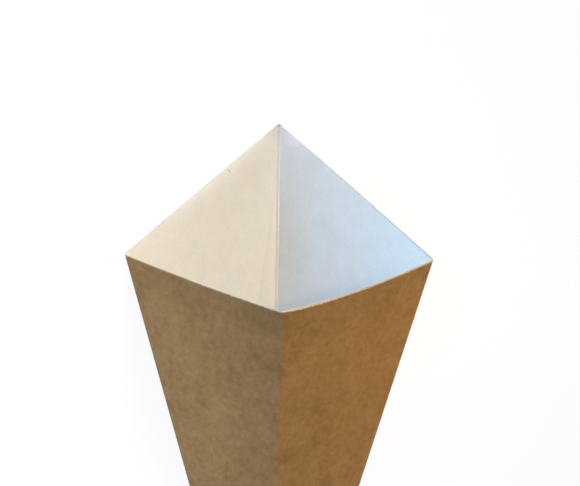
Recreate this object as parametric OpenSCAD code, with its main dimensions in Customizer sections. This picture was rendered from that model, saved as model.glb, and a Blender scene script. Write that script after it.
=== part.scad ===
// Paper fries cone: one sheet of card, folded into a pointed cone of four panels and glued at the back
// It lies on its back left panel: X across, Y from the tip to the mouth, Z up, in millimetres

/* [Cone] */
// Length of the two side folds, from the tip to the corners of the mouth
side_fold = 225; // [140:1:320]
// Length of the front fold, from the tip to the front of the rim
front_fold = 225; // [140:1:320]
// Length of the back fold, from the tip to the peak
back_fold = 261; // [160:1:380]
// Angle that each of the four panels takes up at the tip
panel_angle = 20; // [14:0.5:28]

/* [Card] */
// Thickness of the card
card = 0.4; // [0.25:0.05:0.6]
// Outside radius of a folded edge
fold_radius = 0.9; // [0.8:0.05:1.6]
// How far the bead that scoring leaves stands past the inside of a fold
bead_rise = 0.05; // [0.03:0.01:0.3]
// How far each bead stops short of the rim
bead_gap = 2.5; // [1:0.5:12]

/* [Bow of the panels] */
// How far the front right panel bows out at the rim
front_right_bow = 2.1; // [0:0.1:5]
// How far the front left panel bows out at the rim
front_left_bow = 0.8; // [0:0.1:5]
// How far the back right panel bows out at the rim
back_right_bow = 0.4; // [0:0.1:3]
// How strongly the front right bow leans towards the front fold
bow_lean_share = 0.3; // [0:0.01:0.33]

/* [Glue tab] */
// Width of the tab that is glued inside the back left panel
tab_width = 15; // [8:0.5:22]
// Angle at which the tab narrows towards both of its ends
tab_taper = 11; // [9:0.5:40]
// How far below the peak the tab begins
tab_top_gap = 20.5; // [6:0.5:40]
// How far above the tip the tab ends
tab_foot_gap = 34; // [20:1:60]

/* [Hidden] */
$fn = 24;
// Flat strips that make up a bowed panel
bow_strips = 10;
half_angle = panel_angle / 2;
// Angles of a fold and of a panel to the middle line of the cone
fold_tilt = asin(sqrt(2) * sin(half_angle));
panel_tilt = asin(tan(half_angle));
// Folds in order: right side, back, left side, front
fold_lengths = [side_fold, back_fold, side_fold, front_fold];
// Panels in order: back right, back left, front left, front right
bows = [back_right_bow, 0, front_left_bow, front_right_bow];
lean_shares = [0, 0, 0, bow_lean_share];
rest_panel = 1;
inner_radius = fold_radius - card;
bead_radius = inner_radius + bead_rise;
tab_end = tab_width / tan(tab_taper);
tab_top = back_fold - tab_top_gap;
// The walls are drawn past the peak and then cut to the rim, the inside further than the outside
outer_reach = max(fold_lengths) + 4 * fold_radius;
inner_reach = max(fold_lengths) + 8 * fold_radius;
trim_reach = max(fold_lengths) + 16 * fold_radius;
trim_side = 2 * fold_radius;
trim_low = 0.6 * inner_radius;
trim_high = fold_radius + 2 * max(bows) + card;
// Middle of the box that the lying cone takes up
mid_x = ((back_fold - side_fold) * sin(half_angle) - front_left_bow) / 2;
mid_y = (back_fold * cos(half_angle) - fold_radius) / 2;

function fold_line(i) =
    [sin(fold_tilt) * cos(90 * i), sin(fold_tilt) * sin(90 * i), cos(fold_tilt)];

function outward(i) =
    [cos(panel_tilt) * cos(90 * i + 45), cos(panel_tilt) * sin(90 * i + 45), -sin(panel_tilt)];

// Height of a bow at share s of the way across a panel, 1 at most when it doesn't lean
function bow_share(s, lean) = 4 * s * (1 - s) * (1 + lean * (1 - 2 * s));

function skin_line(i, s) =
    (1 - s) * fold_line(i) + s * fold_line(i + 1)
    + outward(i) * bows[i] / side_fold * bow_share(s, lean_shares[i]);

skin_lines = [
    for (i = [0:3])
        for (k = [0:(bows[i] > 0 ? bow_strips - 1 : 0)])
            skin_line(i, k / bow_strips)
];

// Places a drawing on a panel: x across, y up from the tip, z outwards
module on_panel(i) {
    rotate([90 + panel_tilt, 0, 90 * i + 135])
        children();
}

// Places a drawing on the back left panel, with y along the back fold
module along_back_fold() {
    on_panel(rest_panel)
        rotate([0, 0, half_angle])
            children();
}

module lay_down() {
    translate([-mid_x, -mid_y, fold_radius])
        rotate([0, 180, 0])
            rotate([-90 - panel_tilt, 0, 0])
                rotate([0, 0, -90 * rest_panel - 135])
                    children();
}

// The round-edged pointed body that one side of the card follows
module skin(radius, reach) {
    hull() {
        sphere(radius);
        for (line = skin_lines)
            translate(line * reach)
                sphere(radius);
    }
}

// What is cut away above the rim of one panel, square to the card
module rim_waste(i) {
    left = [-sin(half_angle), cos(half_angle)];
    right = [sin(half_angle), cos(half_angle)];
    rim_left = left * fold_lengths[i];
    rim_right = right * fold_lengths[(i + 1) % 4];
    rim_run = (rim_right - rim_left) / norm(rim_right - rim_left);
    on_panel(i)
        translate([0, 0, trim_low])
            linear_extrude(height = trim_high - trim_low)
                polygon([
                    rim_left - rim_run * trim_side,
                    rim_right + rim_run * trim_side,
                    right * trim_reach + [trim_side, 0],
                    left * trim_reach - [trim_side, 0]
                ]);
}

module folded_panels() {
    difference() {
        skin(fold_radius, outer_reach);
        skin(inner_radius, inner_reach);
        for (i = [0:3])
            rim_waste(i);
    }
}

// The ridge that scoring raises along the inside of a fold
module bead(i) {
    rotate([0, fold_tilt, 90 * i])
        cylinder(r = bead_radius, h = fold_lengths[i] - bead_gap);
}

// The tab turned in from the back right panel and glued to the inside of the back left one
module glue_tab() {
    along_back_fold()
        translate([0, 0, inner_radius - card])
            linear_extrude(height = 1.25 * card)
                polygon([
                    [0, tab_foot_gap],
                    [tab_width, tab_foot_gap + tab_end],
                    [tab_width, tab_top - tab_end],
                    [0, tab_top]
                ]);
}

// The cut edge of the back left panel, which runs out over the fold of the tab
module seam_edge() {
    along_back_fold()
        translate([0, 0, inner_radius])
            linear_extrude(height = card)
                polygon([
                    [0, fold_radius],
                    [0, back_fold - card],
                    [-fold_radius, back_fold - card],
                    [-fold_radius, fold_radius]
                ]);
}

module fries_cone() {
    color([0.62, 0.48, 0.31])
        lay_down()
            union() {
                folded_panels();
                for (i = [0:3])
                    bead(i);
                glue_tab();
                seam_edge();
            }
}

fries_cone();
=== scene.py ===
# Paper fries cone: folds a kraft card cone, white inside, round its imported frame
import math
from typing import NamedTuple

import bmesh
import bpy
from mathutils import Matrix, Vector


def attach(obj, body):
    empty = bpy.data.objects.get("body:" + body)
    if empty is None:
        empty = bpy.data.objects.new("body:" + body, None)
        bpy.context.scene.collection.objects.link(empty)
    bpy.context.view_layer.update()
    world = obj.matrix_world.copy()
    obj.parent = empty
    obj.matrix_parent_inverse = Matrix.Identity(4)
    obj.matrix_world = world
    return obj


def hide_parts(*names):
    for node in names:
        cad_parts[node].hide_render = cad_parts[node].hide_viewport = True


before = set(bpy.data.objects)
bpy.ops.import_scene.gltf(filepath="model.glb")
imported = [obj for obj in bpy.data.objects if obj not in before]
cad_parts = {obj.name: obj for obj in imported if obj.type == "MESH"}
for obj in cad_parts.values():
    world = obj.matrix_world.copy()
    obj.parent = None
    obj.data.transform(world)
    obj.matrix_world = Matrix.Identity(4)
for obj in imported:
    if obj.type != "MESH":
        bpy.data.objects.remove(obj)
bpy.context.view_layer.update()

bl_info = {
    "name": "Paper fries cone",
    "version": (1, 0, 0),
    "blender": (4, 5, 0),
    "location": "View3D > Sidebar > Fries Cone",
    "description": "Folds a kraft card cone round its packed frame and sets it on a plain stage",
    "category": "Object",
}

NODE = "fries_cone"
MM = 0.001
QUARTER = math.pi / 2

# Panels run round the cone in this order, each from the fold of its own number to the next
BACK_RIGHT, BACK_LEFT, FRONT_LEFT, FRONT_RIGHT = range(4)
RIGHT_FOLD, BACK_FOLD, LEFT_FOLD, FRONT_FOLD = range(4)

# Names of the map of the flat blank and of the numbers kept on the mesh
BLANK_UV = "blank"
INSIDE = "inside"
# Painted shade along the glue tab's pressed edge
TAB_EDGE_SHADE = "pressed"
RIM_GAP = "rim_gap"

# Mesh steps: strips round a fold, columns across a panel and rows along it
FOLD_STEPS = 6
COLUMNS = 24
ROWS = 40
TAB_COLUMNS = 20
TAB_ROWS = 80
SMOOTH_ANGLE = math.radians(40)

# Profiles of the folds: round outside, and hollowed inside, which leaves a bead
ROUND_PROFILE = 0.5
BEAD_PROFILE = 0.086
BEAD_REACH = 1.2

# The closed tip: where the straight folds stop, and the height and share of each ring below
OUTSIDE_FOOT = 9 * MM
OUTSIDE_RINGS = ((0.4 * MM, 0.61), (-0.45 * MM, 0.8))
LINING_FOOT = 10 * MM
LINING_TIP = 4.5 * MM

# Open panels: size of their soft waves, and the room that a leaning bow needs in its weights
WAVE_SIZE = 45 * MM
BOW_ROOM = 1.25

# Glue tab: how it stands on the lining, and the widths at which it has its full rise and full
# painted shade
TAB_RISE = 0.3 * MM
TAB_FULL_RISE = 3 * MM
TAB_FULL_SHADE = 4 * MM
TAB_SINK = 0.05 * MM
TAB_EDGE_SINK = 0.02 * MM
TAB_OVERLAP = 0.15 * MM
TAB_LEAST_WIDTH = 0.1 * MM
TAB_SEAT_SHARE = 0.97
TAB_UNDERSIDE_SHARE = 0.9
TAB_SHADE_SHARE = 0.7

# Kraft: sizes and shares of its clouds, patches, grain and fibres, and the way they are drawn out
KRAFT_CLOUD = 9 * MM
KRAFT_PATCH = 2.4 * MM
KRAFT_GRAIN = 0.9 * MM
MOTTLE_SHARES = (1.7, 1.6, 1.1)
GRAIN_WAY = Vector((0.71, -0.18, -0.68))
GRAIN_DRAW = 1.8
PALE_FIBRE = (0.35 * MM, 2.6 * MM)
DARK_FIBRE = (0.35 * MM, 1.9 * MM)
PALE_FIBRE_SHARE = 0.10
DARK_FIBRE_SHARE = 0.14
FIBRE_EDGE = 0.08
DARK_KRAFT = Vector((0.80, 0.77, 0.62))
PALE_KRAFT = Vector((1.20, 1.23, 1.38))

# Front rim: bands below it, from where they are full to where they end, and its ragged line
BELOW_RIM_BAND = (4 * MM, 14 * MM)
RUBBED_BAND = (0.1 * MM, 0.5 * MM)
RUBBED_RAGGED = 0.6 * MM
RUBBED_MORE = 0.35 * MM
RUBBED_BLEND = 10 * MM
RUBBED_SHARE = 0.9

# Lining: its clouds, grain and fibres, the painted shade of a groove on both sides of the glued
# fold, and the rim
LINING_CLOUD = (7 * MM, 7 * MM)
LINING_GRAIN = (1.2 * MM, 1.2 * MM)
LINING_FIBRE = (0.2 * MM, 1.8 * MM)
GROOVE_SHADE_LEFT = (0.4 * MM, 0.8 * MM)
GROOVE_SHADE_RIGHT = (0.3 * MM, 0.55 * MM)
RIM_BAND = (0.1 * MM, 0.6 * MM)

# Grey of the peak: where each ring of it is full, where it ends, and how grey it is
PEAK_RINGS = ((1.5 * MM, 11 * MM, 0.2), (0.7 * MM, 1.8 * MM, 0.3))

# Painted shade beside the glued fold: how far it reaches off the fold, and where along the fold it
# begins and ends
FOLD_SHADE_REACH = (1 * MM, 22 * MM)
FOLD_SHADE_START = (180 * MM, 208 * MM)
FOLD_SHADE_END = (208 * MM, 252 * MM)
FOLD_SHADE_TINT = (0.93, 0.915, 0.83)

# Dark fibre on the lining: its width and length, and where it fades, in shares of them
SPECK_SIZE = (0.35 * MM, 1.0 * MM)
SPECK_FADE = (0.5, 1.2)
SPECK_SHARE = 0.6

# Cut edge: how ragged it is, the depths at which core and lining begin, and the grey of the back
# right rim
EDGE_RAGGED = (1.1 * MM, 1.1 * MM)
CORE_DEPTH = (0.2, 0.45)
LINING_DEPTH = (0.7, 0.9)
EDGE_GREY_SHARE = 0.9
EDGE_GREY_AT_PEAK = 0.3
EDGE_GREY_MORE = 0.4
EDGE_GREY_RUN = (20 * MM, 55 * MM)
EDGE_GREY_END = (-1 * MM, 1 * MM)

# The stage's own sizes
FLOOR_SIZE = 6.0
FLOOR_DROP = 0.1 * MM
NEAREST_SEEN = 10 * MM

# Sockets of a Mix node that mixes colours
MIX_SHARE, MIX_FIRST, MIX_SECOND = 0, 6, 7
MIX_RESULT = 2


class Lamp(NamedTuple):
    """A soft disc lamp: where it stands, what it faces, and how wide, warm and strong it is"""
    name: str
    place: tuple
    aim: tuple
    size: float
    spread: float
    colour: tuple
    power: float


MOUTH = (0, 0.08, 0.04)

# A warm soft key over the mouth, a small warm bulb, a plain lamp behind, and narrow end lamps
LAMPS = (
    Lamp("warm_key", (0, 0.449, 0.861), MOUTH,
         size=0.15, spread=180, colour=(1, 0.79, 0.468), power=3.739),
    Lamp("small_bulb", (-0.325, 0.287, 0.853), MOUTH,
         size=0.012, spread=180, colour=(1, 0.8, 0.467), power=1.5),
    Lamp("plain_back", (0.802, 0.16, 0.441), MOUTH,
         size=0.45, spread=180, colour=(1, 1, 1), power=2.0),
    Lamp("right_end", (-0.666, 0.68, 0.12), (0.036, 0.12, 0.14),
         size=0.1, spread=20, colour=(0.185, 0.592, 1), power=0.117),
    Lamp("right_rim", (-0.666, 0.68, 0.12), (0.04, 0.14, 0.04),
         size=0.1, spread=20, colour=(0.324, 0.477, 1), power=0.024),
    Lamp("left_end", (0.012, 0.61, 0.767), (-0.14, 0.09, 0),
         size=0.15, spread=22, colour=(1, 0.923, 0.878), power=0.058),
    Lamp("left_side", (-0.81, -0.258, 0.238), (-0.04, 0.03, -0.06),
         size=0.15, spread=22, colour=(0.452, 0.656, 1), power=0.194),
    Lamp("right_side", (0.427, -0.225, 0.772), (0.12, 0.05, 0.05),
         size=0.15, spread=22, colour=(1, 0.641, 0), power=0.062),
)


class ConeShape(bpy.types.PropertyGroup):
    """Sizes of the folded cone, as in the part's source"""
    side_fold: bpy.props.FloatProperty(
        name="Side folds", description="Length of the two side folds from the tip to the mouth",
        default=225 * MM, unit="LENGTH")
    front_fold: bpy.props.FloatProperty(
        name="Front fold", description="Length of the front fold from the tip to the rim",
        default=225 * MM, unit="LENGTH")
    back_fold: bpy.props.FloatProperty(
        name="Back fold", description="Length of the back fold from the tip to the peak",
        default=261 * MM, unit="LENGTH")
    panel_angle: bpy.props.FloatProperty(
        name="Panel angle", description="Angle that each panel takes up at the tip",
        default=math.radians(20), subtype="ANGLE")
    card: bpy.props.FloatProperty(
        name="Card", description="Thickness of the card", default=0.4 * MM, unit="LENGTH")
    fold_radius: bpy.props.FloatProperty(
        name="Fold radius", description="Outside radius of a folded edge",
        default=0.9 * MM, unit="LENGTH")
    bead: bpy.props.FloatProperty(
        name="Bead", description="Radius of the bead that scoring leaves inside a fold",
        default=0.8 * MM, unit="LENGTH")
    front_right_bow: bpy.props.FloatProperty(
        name="Front right bow", description="How far the front right panel bows out at the rim",
        default=2.1 * MM, unit="LENGTH")
    front_left_bow: bpy.props.FloatProperty(
        name="Front left bow", description="How far the front left panel bows out at the rim",
        default=0.8 * MM, unit="LENGTH")
    back_right_bow: bpy.props.FloatProperty(
        name="Back right bow", description="How far the back right panel bows out at the rim",
        default=0.4 * MM, unit="LENGTH")
    bow_lean: bpy.props.FloatProperty(
        name="Bow lean", description="How strongly the front right bow leans to the front fold",
        default=0.3, subtype="FACTOR")
    ripple: bpy.props.FloatProperty(
        name="Ripple", description="Depth of the soft unevenness of the open panels",
        default=0.25 * MM, unit="LENGTH")
    tab_width: bpy.props.FloatProperty(
        name="Tab width", description="Width of the glue tab inside the back left panel",
        default=15 * MM, unit="LENGTH")
    tab_taper: bpy.props.FloatProperty(
        name="Tab taper", description="Angle at which the tab narrows to its ends",
        default=math.radians(11), subtype="ANGLE")
    tab_top_gap: bpy.props.FloatProperty(
        name="Tab below peak", description="How far below the peak the tab begins",
        default=20.5 * MM, unit="LENGTH")
    tab_foot_gap: bpy.props.FloatProperty(
        name="Tab above tip", description="How far above the tip the tab ends",
        default=34 * MM, unit="LENGTH")
    tab_ramp: bpy.props.FloatProperty(
        name="Tab ramp", description="Width over which the tab's edge is pressed flat",
        default=4 * MM, unit="LENGTH")


class CardLooks(bpy.types.PropertyGroup):
    """Colours and finish of the card"""
    kraft: bpy.props.FloatVectorProperty(
        name="Kraft", description="Brown of the unbleached outside", subtype="COLOR",
        default=(0.260, 0.137, 0.0445), min=0, max=1)
    lining: bpy.props.FloatVectorProperty(
        name="Lining", description="White of the inside", subtype="COLOR",
        default=(0.80, 0.79, 0.77), min=0, max=1)
    core: bpy.props.FloatVectorProperty(
        name="Core", description="Pale middle of the card, seen at a cut edge", subtype="COLOR",
        default=(0.70, 0.61, 0.53), min=0, max=1)
    # Grey of the back right panel's cut edge
    edge_grey: bpy.props.FloatVectorProperty(
        name="Soil", description="Grey of the cut edge that was handled most", subtype="COLOR",
        default=(0.16, 0.16, 0.17), min=0, max=1)
    mottle: bpy.props.FloatProperty(
        name="Mottle", description="Strength of the kraft's cloudy light and dark patches",
        default=0.7, subtype="FACTOR")
    # How much darker the kraft is just below the rim
    below_rim_darkening: bpy.props.FloatProperty(
        name="Handled shade", description="How dark the kraft below the rim is from handling",
        default=0.1, subtype="FACTOR")
    # Strength of the painted shade along the score of the glued fold
    score_painted_shade: bpy.props.FloatProperty(
        name="Score shade", description="How dark the groove beside the glued fold is",
        default=0.16, subtype="FACTOR")
    # How grey the lining along the back right panel's rim is
    rim_shade: bpy.props.FloatProperty(
        name="Rim shade", description="How grey the rim of the back right panel is from handling",
        default=0.15, subtype="FACTOR")
    # Strength of the painted shade along the glue tab's pressed edge
    tab_edge_painted_shade: bpy.props.FloatProperty(
        name="Pressed shade", description="How dark the pressed edge of the glue tab is",
        default=0.08, subtype="FACTOR")
    # Strength of the painted shade beside the glued fold
    fold_painted_shade: bpy.props.FloatProperty(
        name="Glue stain", description="How strong the faint stain beside the glued fold is",
        default=1.0, subtype="FACTOR")
    speck_place: bpy.props.FloatVectorProperty(
        name="Speck", description="Place of the dark fibre: along the back fold, and left of it",
        size=2, default=(241.8 * MM, 26.7 * MM), unit="LENGTH")
    speck: bpy.props.FloatVectorProperty(
        name="Speck colour", description="Brown of the dark fibre on the lining", subtype="COLOR",
        default=(0.25, 0.19, 0.14), min=0, max=1)


class StageSetup(bpy.types.PropertyGroup):
    """Camera, lamps and floor"""
    camera_place: bpy.props.FloatVectorProperty(
        name="Camera", description="Where the camera stands", subtype="TRANSLATION",
        default=(-0.33865, 0.18315, 0.38246))
    camera_turn: bpy.props.FloatVectorProperty(
        name="Camera turn", description="How the camera is turned", subtype="EULER",
        default=(math.radians(-4.8139), math.radians(-45.7237), math.radians(-8.4628)))
    focal_length: bpy.props.FloatProperty(
        name="Focal length", description="Lens of the camera, in millimetres", default=83.51)
    light_level: bpy.props.FloatProperty(
        name="Light level", description="Level of all the lamps together", default=1.0)
    ambient: bpy.props.FloatVectorProperty(
        name="Ambient", description="Colour of the light from all round", subtype="COLOR",
        default=(0.158, 0.175, 0.177), min=0, max=1)
    floor_colour: bpy.props.FloatVectorProperty(
        name="Floor", description="Colour of the floor", subtype="COLOR",
        default=(0.8, 0.8, 0.8), min=0, max=1)
    floor_white: bpy.props.FloatVectorProperty(
        name="Floor white", description="White that the floor shows to the camera",
        subtype="COLOR", default=(0.983, 0.983, 1), min=0, max=1)
    floor_strength: bpy.props.FloatProperty(
        name="Floor strength", description="Strength of the white of the floor", default=1.048)
    floor_glow: bpy.props.FloatProperty(
        name="Floor glow", description="How far the floor is kept white to the camera",
        default=0.88, subtype="FACTOR")


# Lines of the cone

def arch(share):
    """Height of an even bow at a share of the way across: 0 at both ends and 1 in the middle"""
    return 4 * share * (1 - share)


def blank_along(angle):
    """Direction on the flat blank of a line from the tip, at an angle from the blank's middle"""
    return Vector((math.sin(angle), math.cos(angle), 0))


def blank_across(angle):
    """Direction on the flat blank that runs square to such a line, to its right"""
    return Vector((math.cos(angle), -math.sin(angle), 0))


class ConeLines:
    """Folds and panels of the upright cone, with its tip at the origin and its front towards -Y"""

    def __init__(self, shape):
        self.shape = shape
        self.inner = shape.fold_radius - shape.card
        self.half = shape.panel_angle / 2
        self.fold_tilt = math.asin(math.sqrt(2) * math.sin(self.half))
        self.panel_tilt = math.asin(math.tan(self.half))
        self.fold_lengths = {RIGHT_FOLD: shape.side_fold, BACK_FOLD: shape.back_fold,
                             LEFT_FOLD: shape.side_fold, FRONT_FOLD: shape.front_fold}
        self.bows = {BACK_RIGHT: shape.back_right_bow, BACK_LEFT: 0.0,
                     FRONT_LEFT: shape.front_left_bow, FRONT_RIGHT: shape.front_right_bow}
        # Angles on the blank from its middle, the front fold, to its side folds and cut edges
        self.side_angle = shape.panel_angle
        self.cut_angle = 2 * shape.panel_angle

    def fold_line(self, fold):
        """Direction of a fold from the tip"""
        flat = math.sin(self.fold_tilt)
        turn = fold * QUARTER
        return Vector((flat * math.cos(turn), flat * math.sin(turn), math.cos(self.fold_tilt)))

    def sharp_tip(self, gap):
        """Height of the point where the panels of one side of the card would meet"""
        return -gap / math.sin(self.panel_tilt)

    def corner_reach(self, gap, height):
        """How far the unrounded fold of one side of the card stands off the middle line"""
        level = gap + height * math.sin(self.panel_tilt)
        return level / (math.cos(self.panel_tilt) * math.cos(QUARTER / 2))

    def across(self, place):
        """The panel that a place is on, and its share of the way across"""
        turn = math.atan2(place.y, place.x) % (4 * QUARTER)
        panel = int(turn // QUARTER) % 4
        return panel, (math.tan(turn - panel * QUARTER - QUARTER / 2) + 1) / 2

    def bow(self, place):
        """How far a panel bows out at a place"""
        panel, share = self.across(place)
        lean = self.shape.bow_lean if panel == FRONT_RIGHT else 0.0
        height = self.bows[panel] * arch(share) * (1 + lean * (1 - 2 * share))
        return height * place.length / self.shape.side_fold

    def rim_gap(self, place):
        """How far below the rim of its panel a place is"""
        panel, _ = self.across(place)
        start = self.fold_line(panel) * self.fold_lengths[panel]
        run = self.fold_line(panel + 1) * self.fold_lengths[(panel + 1) % 4] - start
        up = start - start.project(run)
        return up.length - place.dot(up) / up.length

    def lie(self):
        """The turn and move that lay the cone down on its back left panel"""
        shape = self.shape
        middle_x = (shape.back_fold - shape.side_fold) * math.sin(self.half) - shape.front_left_bow
        middle_y = shape.back_fold * math.cos(self.half) - shape.fold_radius
        panel_middle = QUARTER * BACK_LEFT + QUARTER / 2
        return (Matrix.Translation((-middle_x / 2, -middle_y / 2, shape.fold_radius))
                @ Matrix.Rotation(math.pi, 4, "Y")
                @ Matrix.Rotation(-QUARTER - self.panel_tilt, 4, "X")
                @ Matrix.Rotation(-QUARTER - panel_middle, 4, "Z"))

    def along_back(self):
        """Turn and move to the lying back left panel: x in from the back fold, y up along it"""
        tip = self.lie() @ Vector((0, 0, 0))
        return Matrix.Translation((tip.x, tip.y, 0)) @ Matrix.Rotation(-self.half, 4, "Z")

    def round_from_back(self, place):
        """How far round the upright cone a place lies from the back fold, clockwise from above"""
        return (QUARTER - math.atan2(place.y, place.x)) % (4 * QUARTER)

    def blank(self, place, middle):
        """Where a place lies on the flat blank, on the same side of the cut as its face's middle"""
        turn = self.round_from_back(place)
        if turn - middle > 2 * QUARTER:
            turn -= 4 * QUARTER
        elif middle - turn > 2 * QUARTER:
            turn += 4 * QUARTER
        panel = math.floor(turn / QUARTER)
        inner = math.atan(math.tan(turn - panel * QUARTER - QUARTER / 2) * math.tan(self.half))
        spot = blank_along((2 * panel + 1) * self.half - self.cut_angle + inner) * place.length
        return spot.xy


# Modelling helpers

def select_only(first, *others):
    """Selects these pieces and nothing else, with the first of them active"""
    bpy.ops.object.select_all(action="DESELECT")
    for piece in (first, *others):
        piece.select_set(True)
    bpy.context.view_layer.objects.active = first


def new_piece(add, name, **settings):
    """Adds a primitive, lamp or camera with nothing else selected, and names it"""
    bpy.ops.object.select_all(action="DESELECT")
    add(**settings)
    piece = bpy.context.object
    piece.name = name
    return piece


def apply_place():
    """Puts the place and turn of the selected piece into its mesh"""
    bpy.ops.object.transform_apply(location=True, rotation=True, scale=True)


def start_edit(piece):
    select_only(piece)
    bpy.ops.object.mode_set(mode="EDIT")


def end_edit():
    bpy.ops.object.mode_set(mode="OBJECT")


def face_outwards():
    """Turns every face of the piece in edit mode outwards"""
    bpy.ops.mesh.select_all(action="SELECT")
    bpy.ops.mesh.normals_make_consistent(inside=False)


def pick(piece, kind, test):
    """Selects the corners or the edges of the piece in edit mode that pass a test"""
    bpy.ops.mesh.select_mode(type=kind)
    bpy.ops.mesh.select_all(action="DESELECT")
    net = bmesh.from_edit_mesh(piece.data)
    found = [item for item in (net.verts if kind == "VERT" else net.edges) if test(item)]
    if not found:
        raise RuntimeError(f"nothing to pick on {piece.name}")
    for item in found:
        item.select_set(True)
    net.select_flush_mode()
    bmesh.update_edit_mesh(piece.data)


def keep(piece, name, values):
    """Keeps a number for each corner of the mesh"""
    piece.data.attributes.new(name, "FLOAT", "POINT").data.foreach_set("value", values)


def mark(piece, name, value):
    """Keeps a number that follows from each corner's place"""
    keep(piece, name, [value(corner.co) for corner in piece.data.vertices])


def apply_modifier(piece, kind, **settings):
    select_only(piece)
    bpy.ops.object.modifier_add(type=kind)
    modifier = piece.modifiers[-1]
    for name, value in settings.items():
        setattr(modifier, name, value)
    bpy.ops.object.modifier_apply(modifier=modifier.name)


def join(first, *others):
    select_only(first, *others)
    bpy.ops.object.join()
    return first


# Shader nodes

class Wire:
    """A node's output that sums can be written with"""

    def __init__(self, recipe, socket):
        self.recipe = recipe
        self.socket = socket

    def sum(self, operation, first, second):
        return self.recipe.add("ShaderNodeMath", {"operation": operation}, {0: first, 1: second})

    def larger(self, other):
        return self.sum("MAXIMUM", self, other)

    def __add__(self, other):
        return self.sum("ADD", self, other)

    def __sub__(self, other):
        return self.sum("SUBTRACT", self, other)

    def __rsub__(self, other):
        return self.sum("SUBTRACT", other, self)

    def __mul__(self, other):
        return self.sum("MULTIPLY", self, other)

    __radd__ = __add__
    __rmul__ = __mul__


class Recipe:
    """A material or world and the nodes it is made of"""

    def __init__(self, holder):
        holder.use_nodes = True
        self.holder = holder
        self.nodes = holder.node_tree.nodes
        self.links = holder.node_tree.links
        self.nodes.clear()

    def add(self, kind, settings=None, inputs=None, out=0):
        """Adds a node: its settings first, then the values or links of its sockets"""
        node = self.nodes.new(kind)
        for name, value in (settings or {}).items():
            setattr(node, name, value)
        for name, value in (inputs or {}).items():
            if isinstance(value, Wire):
                self.links.new(value.socket, node.inputs[name])
            else:
                node.inputs[name].default_value = value
        return Wire(self, node.outputs[out]) if node.outputs else None

    def flat(self):
        """Place on the flat blank, in metres"""
        return self.add("ShaderNodeUVMap", {"uv_map": BLANK_UV})

    def place(self):
        """Place on the lying piece, in metres"""
        return self.add("ShaderNodeTexCoord", out="Object")

    def kept(self, name):
        """A number kept on the mesh"""
        return self.add("ShaderNodeAttribute", {"attribute_name": name}, out="Fac")

    def blank(self, size, turn=0.0, start=(0, 0, 0)):
        """Place on the flat blank, turned and counted in patches of a size in metres"""
        return self.add("ShaderNodeMapping", {"vector_type": "TEXTURE"}, {
            "Vector": self.flat(), "Location": start, "Rotation": (0, 0, turn),
            "Scale": (*size, 1)})

    def noise(self, size, detail=2.0, roughness=0.55, turn=0.0):
        """Cloudy value from 0 to 1, with patches of a size in metres"""
        return self.add("ShaderNodeTexNoise", {"noise_dimensions": "2D"}, {
            "Vector": self.blank(size, turn), "Scale": 1.0, "Detail": detail,
            "Roughness": roughness})

    def drawn_noise(self, size, detail=2.0, roughness=0.55):
        """Cloudy value from 0 to 1, with patches of a size in metres that are drawn out one way"""
        turned = self.add("ShaderNodeMapping", {"vector_type": "TEXTURE"}, {
            "Vector": self.place(), "Rotation": GRAIN_WAY.to_track_quat("Z", "Y").to_euler(),
            "Scale": (size, size, size * GRAIN_DRAW)})
        return self.add("ShaderNodeTexNoise", {"noise_dimensions": "3D"}, {
            "Vector": turned, "Scale": 1.0, "Detail": detail, "Roughness": roughness})

    def step(self, value, start, end):
        """0 up to the start and 1 past the end, with a soft step between"""
        return self.add("ShaderNodeMapRange", {"interpolation_type": "SMOOTHSTEP"}, {
            "Value": value, "From Min": start, "From Max": end, "To Min": 0.0, "To Max": 1.0})

    def fade(self, value, start, end):
        """1 up to the start and 0 past the end, with a soft step between"""
        return 1 - self.step(value, start, end)

    def mix(self, share, first, second):
        def full(colour):
            return colour if isinstance(colour, Wire) else (*colour, 1)
        return self.add("ShaderNodeMix", {"data_type": "RGBA"}, {
            MIX_SHARE: share, MIX_FIRST: full(first), MIX_SECOND: full(second)}, out=MIX_RESULT)

    def dot(self, vector, along):
        """How far a vector reaches along a direction"""
        return self.add("ShaderNodeVectorMath", {"operation": "DOT_PRODUCT"}, {
            0: vector, 1: along}, out="Value")

    def distance(self, first, second):
        return self.add("ShaderNodeVectorMath", {"operation": "DISTANCE"}, {
            0: first, 1: second}, out="Value")

    def shade(self, colour, tone):
        """A colour made lighter or darker"""
        return self.add("ShaderNodeVectorMath", {"operation": "SCALE"}, {0: colour, "Scale": tone})

    def tint(self, colour, shares):
        """A colour with each of its channels scaled by a share"""
        return self.add("ShaderNodeVectorMath", {"operation": "MULTIPLY"}, {0: colour, 1: shares})

    def fibres(self, size, turns, thin):
        """Thin short streaks lying several ways"""
        streaks = None
        for turn in turns:
            noise = self.noise(size, 1.0, 0.5, turn)
            streak = self.step(noise, thin, thin + FIBRE_EDGE)
            streaks = streaks.larger(streak) if streaks else streak
        return streaks

    def back_right(self, lines):
        """Greying of the back right panel's rim: least at the peak, more at its side fold and 0
        past it
        """
        flat = self.flat()
        from_back = self.dot(flat, blank_across(-lines.cut_angle))
        past_fold = self.dot(flat, blank_across(-lines.side_angle))
        return (EDGE_GREY_AT_PEAK + self.step(from_back, *EDGE_GREY_RUN) * EDGE_GREY_MORE) * self.fade(
            past_fold, *EDGE_GREY_END)

    def finish(self, colour, roughness, height, depth, specular):
        bump = self.add("ShaderNodeBump", {}, {
            "Strength": 1.0, "Distance": depth, "Height": height})
        surface = self.add("ShaderNodeBsdfPrincipled", {}, {
            "Base Color": colour, "Roughness": roughness, "Specular IOR Level": specular,
            "Normal": bump})
        self.add("ShaderNodeOutputMaterial", {}, {"Surface": surface})
        return self.holder


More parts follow.
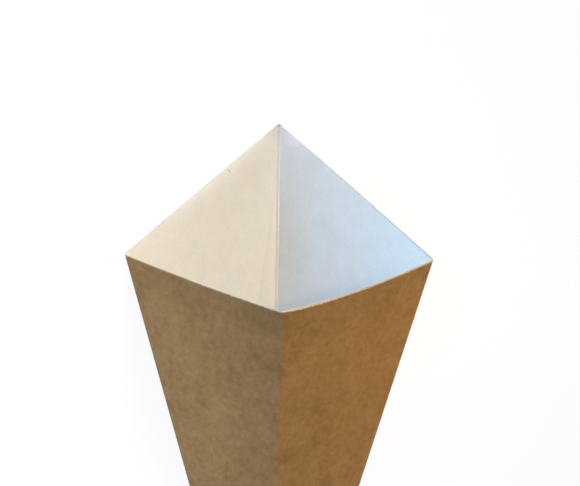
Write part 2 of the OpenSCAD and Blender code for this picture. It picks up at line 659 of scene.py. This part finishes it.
def kraft_outside(looks):
    recipe = Recipe(bpy.data.materials.new("kraft_outside"))
    clouds = recipe.drawn_noise(KRAFT_CLOUD)
    patches = recipe.drawn_noise(KRAFT_PATCH, 1.0, 0.5)
    grain = recipe.drawn_noise(KRAFT_GRAIN, 1.0, 0.5)
    pale = recipe.fibres(PALE_FIBRE, turns=(0.3, 1.2, 2.2), thin=0.60)
    dark = recipe.fibres(DARK_FIBRE, turns=(0.8, 1.8, 2.8), thin=0.62)
    level = 0.5 + pale * PALE_FIBRE_SHARE - dark * DARK_FIBRE_SHARE
    for layer, share in zip((clouds, patches, grain), MOTTLE_SHARES):
        level = level + (layer - 0.5) * (share * looks.mottle)
    kraft = Vector(looks.kraft)
    colour = recipe.mix(level, kraft * DARK_KRAFT, kraft * PALE_KRAFT)

    # Below the rim the kraft is darker
    gap = recipe.kept(RIM_GAP)
    handled = recipe.fade(gap, *BELOW_RIM_BAND)
    colour = recipe.shade(colour, 1 - handled * looks.below_rim_darkening)

    # The rim is rubbed pale, more so to the right of the front fold
    right = recipe.step(recipe.dot(recipe.flat(), -blank_across(0)), 0.0, RUBBED_BLEND)
    ragged = gap + (grain - 0.5) * RUBBED_RAGGED - right * RUBBED_MORE
    rubbed = recipe.fade(ragged, *RUBBED_BAND)
    colour = recipe.mix(rubbed * RUBBED_SHARE, colour, tuple(looks.core))
    return recipe.finish(colour, roughness=0.8 + (grain - 0.5) * 0.25,
                         height=grain * 0.6 + pale * 0.5 - dark * 0.3,
                         depth=0.03 * MM, specular=0.3)


def white_lining(looks, lines):
    recipe = Recipe(bpy.data.materials.new("white_lining"))
    clouds = recipe.noise(LINING_CLOUD)
    grain = recipe.noise(LINING_GRAIN, 2.0, 0.6)
    fibre = recipe.fibres(LINING_FIBRE, turns=(0.4, 1.4, 2.5), thin=0.66)
    tone = 1 + (clouds - 0.5) * 0.09 + (grain - 0.5) * 0.11 - fibre * 0.02
    # Painted shade darkens the lining along the glue tab's pressed edge
    tone = tone - recipe.kept(TAB_EDGE_SHADE) * looks.tab_edge_painted_shade

    # Painted shade: the score along the glued fold is darkened as a shaded groove
    flat = recipe.flat()
    left = recipe.dot(flat, -blank_across(lines.cut_angle))
    right = recipe.dot(flat, blank_across(-lines.cut_angle))
    painted_groove_shade = recipe.fade(left, *GROOVE_SHADE_LEFT).larger(recipe.fade(right, *GROOVE_SHADE_RIGHT))
    tone = tone - painted_groove_shade * looks.score_painted_shade

    # The lining is a little greyer round the peak
    peak = lines.lie() @ (lines.fold_line(BACK_FOLD) * lines.shape.back_fold)
    reach = recipe.distance(recipe.place(), peak)
    for start, end, grey in PEAK_RINGS:
        tone = tone - recipe.fade(reach, start, end) * grey

    # The lining along the rim of the back right panel is greyer too
    rim_grey = recipe.fade(recipe.kept(RIM_GAP), *RIM_BAND) * recipe.back_right(lines)
    tone = tone - rim_grey * looks.rim_shade
    colour = recipe.shade(tuple(looks.lining), tone)

    # Painted shade: a faint yellow-grey shade lies beside the glued fold, on its right, low in the
    # corner
    up = recipe.dot(flat, blank_along(-lines.cut_angle))
    painted_shade = (recipe.fade(right, *FOLD_SHADE_REACH) * recipe.step(up, *FOLD_SHADE_START)
             * recipe.fade(up, *FOLD_SHADE_END))
    colour = recipe.mix(painted_shade * looks.fold_painted_shade, colour, recipe.tint(colour, FOLD_SHADE_TINT))

    # One dark fibre lies on the back left panel
    along, off = looks.speck_place
    centre = blank_along(lines.cut_angle) * along - blank_across(lines.cut_angle) * off
    reach = recipe.distance(recipe.blank(SPECK_SIZE, start=centre), (0, 0, 0))
    colour = recipe.mix(recipe.fade(reach, *SPECK_FADE) * SPECK_SHARE, colour, tuple(looks.speck))
    return recipe.finish(colour, roughness=0.5 + (grain - 0.5) * 0.2, height=grain,
                         depth=0.012 * MM, specular=0.4)


def cut_edge(looks, lines):
    recipe = Recipe(bpy.data.materials.new("cut_edge"))
    ragged = recipe.noise(EDGE_RAGGED, 3.0, 0.65)
    level = recipe.kept(INSIDE) + (ragged - 0.5) * 0.35
    colour = recipe.mix(recipe.step(level, *CORE_DEPTH), tuple(looks.kraft), tuple(looks.core))
    colour = recipe.mix(recipe.step(level, *LINING_DEPTH), colour, tuple(looks.lining))

    # The cut edge of the back right panel is grey
    colour = recipe.mix(recipe.back_right(lines) * EDGE_GREY_SHARE, colour, tuple(looks.edge_grey))
    return recipe.finish(colour, roughness=0.85 + (ragged - 0.5) * 0.1, height=ragged,
                         depth=0.05 * MM, specular=0.3)


# The folded card

class FRIES_CONE_OT_fold_card(bpy.types.Operator):
    """Folds the card into a pointed cone of four panels, with its glue tab and its seam"""
    bl_idname = "fries_cone.fold_card"
    bl_label = "Fold the card"

    def side_of_card(self, lines, name, gap, foot, rounding, profile):
        """One side of the card: a pointed four-sided tube with its folds worked and its tip open"""
        shape = lines.shape
        tip = lines.sharp_tip(gap)
        flat, rise = math.sin(lines.fold_tilt), math.cos(lines.fold_tilt)
        reach = shape.side_fold - tip * rise
        side = new_piece(
            bpy.ops.mesh.primitive_cone_add, name, vertices=4, radius1=foot * flat,
            radius2=reach * flat, depth=(reach - foot) * rise, end_fill_type="NOTHING",
            location=(0, 0, tip + (reach + foot) / 2 * rise))
        apply_place()
        middle = reach / 2
        start_edit(side)
        for fold, way in ((BACK_FOLD, 1), (FRONT_FOLD, -1)):
            pick(side, "VERT", lambda v: v.co.z > middle and v.co.y * way > shape.card)
            longer = lines.fold_lengths[fold] - shape.side_fold
            bpy.ops.transform.translate(value=lines.fold_line(fold) * longer)

        def runs_up(edge):
            return (edge.verts[0].co.z - middle) * (edge.verts[1].co.z - middle) < 0

        pick(side, "EDGE", runs_up)
        bpy.ops.mesh.bevel(offset=rounding, segments=FOLD_STEPS, profile=profile,
                           affect="EDGES", clamp_overlap=False)
        pick(side, "EDGE", lambda e: not runs_up(e) and e.calc_length() > shape.fold_radius)
        bpy.ops.mesh.subdivide(number_cuts=COLUMNS - 1)
        pick(side, "EDGE", runs_up)
        bpy.ops.mesh.subdivide(number_cuts=ROWS - 1)
        pick(side, "EDGE", lambda e: sum(v.is_boundary for v in e.verts) == 1
             and e.verts[0].co.z > middle)
        bpy.ops.mesh.subdivide(number_cuts=1)
        end_edit()
        return side

    def close_tip(self, side, rings, end):
        """Draws the open foot of a side of the card in, ring by ring, to a point"""
        start_edit(side)
        low = min(corner.co.z for corner in side.data.vertices)
        high = max(corner.co.z for corner in side.data.vertices)
        pick(side, "EDGE", lambda e: e.is_boundary and e.verts[0].co.z < (low + high) / 2)
        for height, share in rings:
            bpy.ops.mesh.extrude_edges_move(TRANSFORM_OT_translate={"value": (0, 0, height - low)})
            bpy.ops.transform.resize(value=(share, share, 1), center_override=(0, 0, 0))
            low = height
        bpy.ops.mesh.extrude_edges_move(TRANSFORM_OT_translate={"value": (0, 0, end - low)})
        bpy.ops.mesh.merge(type="CENTER")
        end_edit()

    def run_out_beads(self, side, lines):
        """Lets the bead inside each fold die away at the rim"""
        net = bmesh.new()
        net.from_mesh(side.data)
        middle = lines.shape.side_fold / 2
        for corner in net.verts:
            if not corner.is_boundary or corner.co.z < middle:
                continue
            fold = round(math.atan2(corner.co.y, corner.co.x) / QUARTER) % 4
            out = Vector((math.cos(fold * QUARTER), math.sin(fold * QUARTER), 0))
            across = Vector((-out.y, out.x, 0))
            off = corner.co.dot(across)
            if abs(off) < lines.shape.bead * BEAD_REACH:
                level = Vector((0, 0, corner.co.z))
                reach = lines.corner_reach(lines.inner, corner.co.z) - abs(off)
                corner.co = level + out * reach + across * off
        net.to_mesh(side.data)
        net.free()

    def bow_panels(self, side, lines):
        """Bows the open panels out towards the mouth, and leaves them softly uneven"""
        largest = max(lines.bows.values()) * BOW_ROOM
        bow = side.vertex_groups.new(name="bow")
        loose = side.vertex_groups.new(name="loose")
        for corner in side.data.vertices:
            panel, share = lines.across(corner.co)
            bow.add([corner.index], lines.bow(corner.co) / largest, "REPLACE")
            slack = 0.0 if panel == BACK_LEFT else arch(share)
            loose.add([corner.index], max(0.0, min(1.0, slack)), "REPLACE")
        apply_modifier(side, "DISPLACE", vertex_group="bow", strength=largest,
                       mid_level=0.0, direction="NORMAL")
        waves = bpy.data.textures.new("panel_ripple", "CLOUDS")
        waves.noise_scale = WAVE_SIZE
        waves.noise_depth = 1
        apply_modifier(side, "DISPLACE", vertex_group="loose", strength=lines.shape.ripple,
                       mid_level=0.5, direction="NORMAL", texture=waves, texture_coords="LOCAL")
        side.vertex_groups.clear()

    def folded_panels(self, lines):
        """The four panels: both sides of the card, joined along the rim and laid down"""
        shape = lines.shape
        # Neighbouring panels face this far apart, so the round of a fold turns as much
        fold_turn = math.acos(math.sin(lines.panel_tilt) ** 2)
        outside = self.side_of_card(
            lines, "fries_cone_card", shape.fold_radius, OUTSIDE_FOOT,
            rounding=shape.fold_radius * math.tan(fold_turn / 2), profile=ROUND_PROFILE)
        lining = self.side_of_card(lines, "lining", lines.inner, LINING_FOOT,
                                   rounding=shape.bead, profile=BEAD_PROFILE)
        self.bow_panels(outside, lines)
        self.bow_panels(lining, lines)
        self.run_out_beads(lining, lines)
        self.close_tip(outside, OUTSIDE_RINGS, -shape.fold_radius)
        self.close_tip(lining, (), LINING_TIP)
        mark(outside, INSIDE, lambda place: 0.0)
        mark(lining, INSIDE, lambda place: 1.0)
        start_edit(lining)
        bpy.ops.mesh.select_all(action="SELECT")
        bpy.ops.mesh.flip_normals()
        end_edit()
        card = join(outside, lining)
        start_edit(card)
        pick(card, "EDGE", lambda e: e.is_boundary)
        bpy.ops.mesh.bridge_edge_loops()
        face_outwards()
        end_edit()
        card.matrix_world = lines.lie()
        apply_place()
        return card

    def tab_section(self, shape, column, wide):
        """Across the tab: how far off the fold a column lies, how high, and how much painted shade
        it gets
        """
        rise = TAB_RISE * min(1.0, wide / TAB_FULL_RISE) - TAB_SINK
        if column == 0:
            return -TAB_OVERLAP, rise + shape.bead, 0.0
        if column <= FOLD_STEPS + 1:
            turn = QUARTER * (1 - (column - 1) / FOLD_STEPS)
            return shape.bead * math.cos(turn), rise + shape.bead * math.sin(turn), 0.0
        share = (column - FOLD_STEPS - 1) / TAB_COLUMNS
        width = max(wide, TAB_LEAST_WIDTH)
        down = max(0.0, 1 - (1 - share) * width / shape.tab_ramp)
        # Painted shade over the outer part of the tab, fading where the tab narrows
        pressed = max(0.0, 1 - (1 - share) / TAB_SHADE_SHARE) * min(1.0, wide / TAB_FULL_SHADE)
        return shape.bead + width * share, rise * (1 - down) - TAB_EDGE_SINK * down, pressed

    def glue_tab(self, lines):
        """The tab inside the back left panel: its fold is beaded and its far edge pressed flat"""
        shape = lines.shape
        low, high = shape.tab_foot_gap, shape.back_fold - shape.tab_top_gap
        slope = math.tan(shape.tab_taper)
        columns = FOLD_STEPS + 1 + TAB_COLUMNS
        tab = new_piece(bpy.ops.mesh.primitive_grid_add, "glue_tab",
                        x_subdivisions=columns, y_subdivisions=TAB_ROWS, size=2)
        place = lines.along_back()
        seat = lines.inner * TAB_SEAT_SHARE
        pressed = []
        for corner in tab.data.vertices:
            column = round((corner.co.x + 1) / 2 * columns)
            up = low + (high - low) * (corner.co.y + 1) / 2
            wide = min(shape.tab_width, (up - low) * slope, (high - up) * slope)
            off, height, shade = self.tab_section(shape, column, wide)
            pressed.append(shade)
            corner.co = place @ Vector((seat - off, up, shape.card + height))
        # Keeps the painted shade of the tab's edge on its corners
        keep(tab, TAB_EDGE_SHADE, pressed)
        start_edit(tab)
        bpy.ops.mesh.select_all(action="SELECT")
        bpy.ops.mesh.extrude_region_move(TRANSFORM_OT_translate={"value": (0, 0, -shape.card)})
        bpy.ops.transform.resize(
            value=(1, 1, 0), center_override=(0, 0, shape.card * TAB_UNDERSIDE_SHARE))
        face_outwards()
        end_edit()
        mark(tab, INSIDE, lambda place: 1.0)
        return tab

    def seam_edge(self, lines):
        """The cut edge of the back left panel, run out over the fold of the tab"""
        shape = lines.shape
        seam = new_piece(bpy.ops.mesh.primitive_cube_add, "seam_edge", size=1)
        length = shape.back_fold - shape.fold_radius - shape.card
        middle = (shape.fold_radius / 2, shape.fold_radius + length / 2, shape.card / 2)
        seam.matrix_world = (lines.along_back() @ Matrix.Translation(middle)
                             @ Matrix.Diagonal((shape.fold_radius, length, shape.card, 1)))
        apply_place()
        start_edit(seam)
        pick(seam, "EDGE", lambda e: e.calc_length() > length / 2)
        bpy.ops.mesh.subdivide(number_cuts=ROWS - 1)
        end_edit()
        mark(seam, INSIDE, lambda place: 1.0 if place.z > shape.card / 2 else 0.0)
        return seam

    def unfold(self, card, lines):
        """Gives the card a map of its flat blank, and each corner its distance below the rim"""
        upright = lines.lie().inverted()
        places = [upright @ corner.co for corner in card.data.vertices]
        flat = card.data.uv_layers.new(name=BLANK_UV)
        for face in card.data.polygons:
            middle = lines.round_from_back(upright @ face.center)
            for loop in face.loop_indices:
                corner = card.data.loops[loop].vertex_index
                flat.data[loop].uv = lines.blank(places[corner], middle)
        keep(card, RIM_GAP, [lines.rim_gap(place) for place in places])

    def finish_faces(self, card, looks, lines):
        """Gives each face the finish of its side of the card, or that of a cut edge between them"""
        finishes = (kraft_outside(looks), white_lining(looks, lines), cut_edge(looks, lines))
        for finish in finishes:
            card.data.materials.append(finish)
        depths = [0.0] * len(card.data.vertices)
        card.data.attributes[INSIDE].data.foreach_get("value", depths)
        for face in card.data.polygons:
            sides = {round(depths[corner]) for corner in face.vertices}
            face.material_index = len(finishes) - 1 if len(sides) > 1 else sides.pop()

    def execute(self, context):
        lines = ConeLines(context.scene.fries_cone_shape)
        card = join(self.folded_panels(lines), self.glue_tab(lines), self.seam_edge(lines))
        self.unfold(card, lines)
        self.finish_faces(card, context.scene.fries_cone_looks, lines)
        select_only(card)
        bpy.ops.object.shade_smooth_by_angle(angle=SMOOTH_ANGLE)
        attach(card, "root")
        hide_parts(NODE)
        return {"FINISHED"}


# The stage

class FRIES_CONE_OT_set_stage(bpy.types.Operator):
    """Sets out the pale floor, the soft lamps and the camera"""
    bl_idname = "fries_cone.set_stage"
    bl_label = "Set the stage"

    def seen_directly(self, recipe):
        """1 where the eye meets the stage itself or in a reflection"""
        camera, glossy, through = [
            recipe.add("ShaderNodeLightPath", out=f"Is {ray} Ray")
            for ray in ("Camera", "Glossy", "Transmission")]
        return camera.larger(glossy).larger(through)

    def floor(self, stage):
        """A plain floor that looks white to the camera and keeps the object's shadow"""
        floor = new_piece(bpy.ops.mesh.primitive_plane_add, "stage_floor",
                          size=FLOOR_SIZE, location=(0, 0, -FLOOR_DROP))
        recipe = Recipe(bpy.data.materials.new("stage_floor"))
        plain = recipe.add("ShaderNodeBsdfDiffuse", {}, {"Color": (*stage.floor_colour, 1)})
        white = recipe.add("ShaderNodeEmission", {}, {
            "Color": (*stage.floor_white, 1), "Strength": stage.floor_strength})
        share = self.seen_directly(recipe) * stage.floor_glow
        mixed = recipe.add("ShaderNodeMixShader", {}, {0: share, 1: plain, 2: white})
        recipe.add("ShaderNodeOutputMaterial", {}, {"Surface": mixed})
        floor.data.materials.append(recipe.holder)

    def light(self, lamp, level):
        """One of the lamps, turned to what it faces"""
        light = new_piece(bpy.ops.object.light_add, lamp.name, type="AREA", location=lamp.place)
        light.data.shape = "DISK"
        light.data.size = lamp.size
        light.data.spread = math.radians(lamp.spread)
        light.data.color = lamp.colour
        light.data.energy = lamp.power * level
        back = Vector(lamp.place) - Vector(lamp.aim)
        light.rotation_euler = back.to_track_quat("Z", "Y").to_euler()

    def sky(self, scene, stage):
        """Even light from all round, which looks white itself"""
        scene.world = scene.world or bpy.data.worlds.new("stage_world")
        recipe = Recipe(scene.world)
        colour = recipe.mix(self.seen_directly(recipe), tuple(stage.ambient), (1, 1, 1))
        sky = recipe.add("ShaderNodeBackground", {}, {"Color": colour, "Strength": 1.0})
        recipe.add("ShaderNodeOutputWorld", {}, {"Surface": sky})

    def camera(self, scene, stage):
        """The camera at the photograph's viewing angle"""
        camera = new_piece(bpy.ops.object.camera_add, "photo_camera",
                           location=stage.camera_place, rotation=stage.camera_turn)
        camera.data.lens = stage.focal_length
        camera.data.clip_start = NEAREST_SEEN
        scene.camera = camera
        scene.view_settings.view_transform = "Standard"

    def execute(self, context):
        stage = context.scene.fries_cone_stage
        self.floor(stage)
        for lamp in LAMPS:
            self.light(lamp, stage.light_level)
        self.sky(context.scene, stage)
        self.camera(context.scene, stage)
        return {"FINISHED"}


class VIEW3D_PT_fries_cone(bpy.types.Panel):
    """Lists the fries cone's steps and sizes"""
    bl_idname = "VIEW3D_PT_fries_cone"
    bl_label = "Fries Cone"
    bl_space_type = "VIEW_3D"
    bl_region_type = "UI"
    bl_category = "Fries Cone"

    def draw(self, context):
        for group in (context.scene.fries_cone_shape, context.scene.fries_cone_looks,
                      context.scene.fries_cone_stage):
            box = self.layout.box()
            for name in group.__annotations__:
                box.prop(group, name)
        self.layout.operator(FRIES_CONE_OT_fold_card.bl_idname)
        self.layout.operator(FRIES_CONE_OT_set_stage.bl_idname)


CLASSES = (ConeShape, CardLooks, StageSetup, FRIES_CONE_OT_fold_card, FRIES_CONE_OT_set_stage,
           VIEW3D_PT_fries_cone)


def register():
    for cls in CLASSES:
        bpy.utils.register_class(cls)
    bpy.types.Scene.fries_cone_shape = bpy.props.PointerProperty(type=ConeShape)
    bpy.types.Scene.fries_cone_looks = bpy.props.PointerProperty(type=CardLooks)
    bpy.types.Scene.fries_cone_stage = bpy.props.PointerProperty(type=StageSetup)


def unregister():
    del bpy.types.Scene.fries_cone_stage
    del bpy.types.Scene.fries_cone_looks
    del bpy.types.Scene.fries_cone_shape
    for cls in reversed(CLASSES):
        bpy.utils.unregister_class(cls)


def main():
    register()
    bpy.ops.fries_cone.fold_card()
    bpy.ops.fries_cone.set_stage()


if __name__ == "__main__":
    main()
